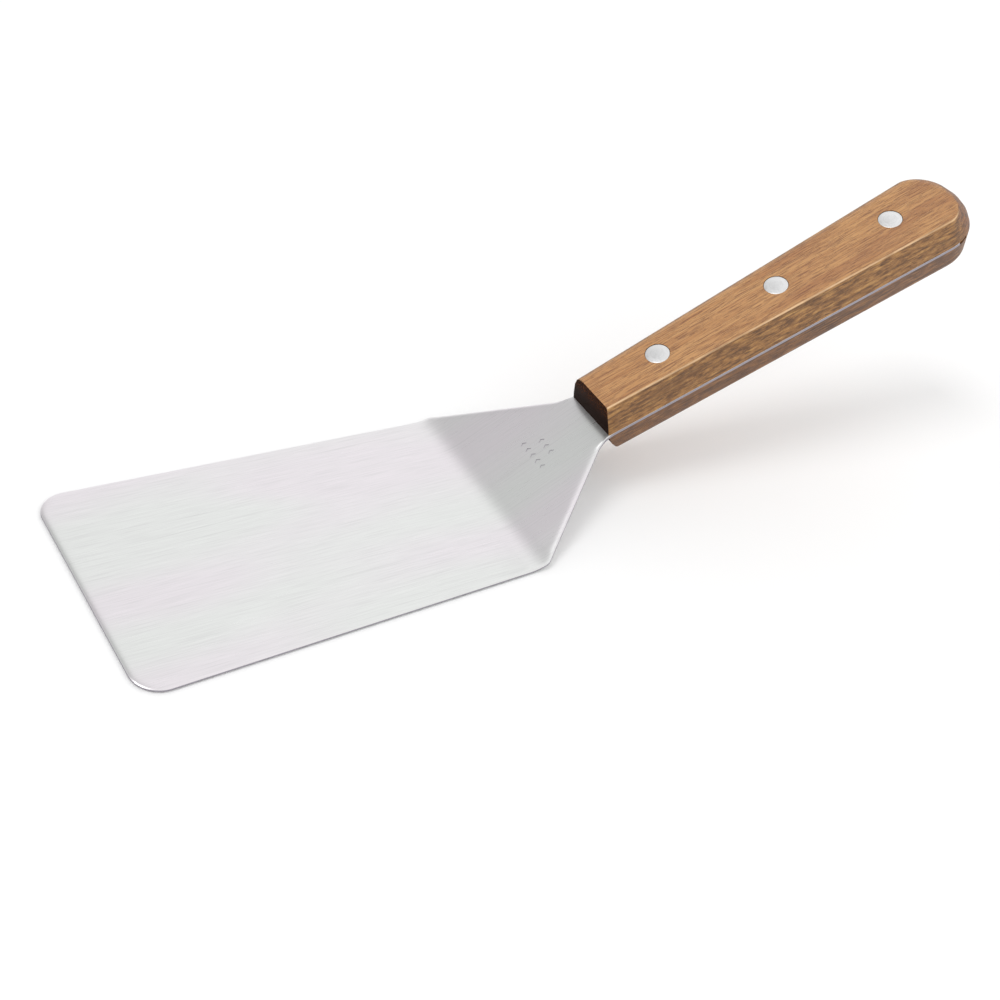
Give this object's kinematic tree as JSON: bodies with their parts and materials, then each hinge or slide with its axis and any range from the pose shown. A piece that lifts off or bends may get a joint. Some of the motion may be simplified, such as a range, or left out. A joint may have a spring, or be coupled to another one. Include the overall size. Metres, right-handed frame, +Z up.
{
  "type": "grill spatula",
  "caption": "Grill spatula with a flat, slightly tapering steel blade, an angled neck that runs into a full-width tang, and a wooden handle of riveted scales with a round butt.",
  "frame": {"origin": "middle of the flat blade's underside, which is the face that the spatula rests on", "axes": "+X from the blade's leading edge to the butt of the handle, +Y across the blade, +Z up from the food face"},
  "size_m": [0.2832, 0.0756, 0.0833],
  "materials": {
    "blade_steel": "satin, brushed lengthwise",
    "scale_wood": "sanded and oiled, open pores",
    "rivet_metal": "turned and polished flush"
  },
  "bodies": {
    "root": {"blade": "blade_steel", "upper_scale": "scale_wood", "lower_scale": "scale_wood", "front_rivet_pin": "rivet_metal", "front_rivet_sleeve": "rivet_metal", "middle_rivet_pin": "rivet_metal", "middle_rivet_sleeve": "rivet_metal", "rear_rivet_pin": "rivet_metal", "rear_rivet_sleeve": "rivet_metal"}
  },
  "joints": []
}
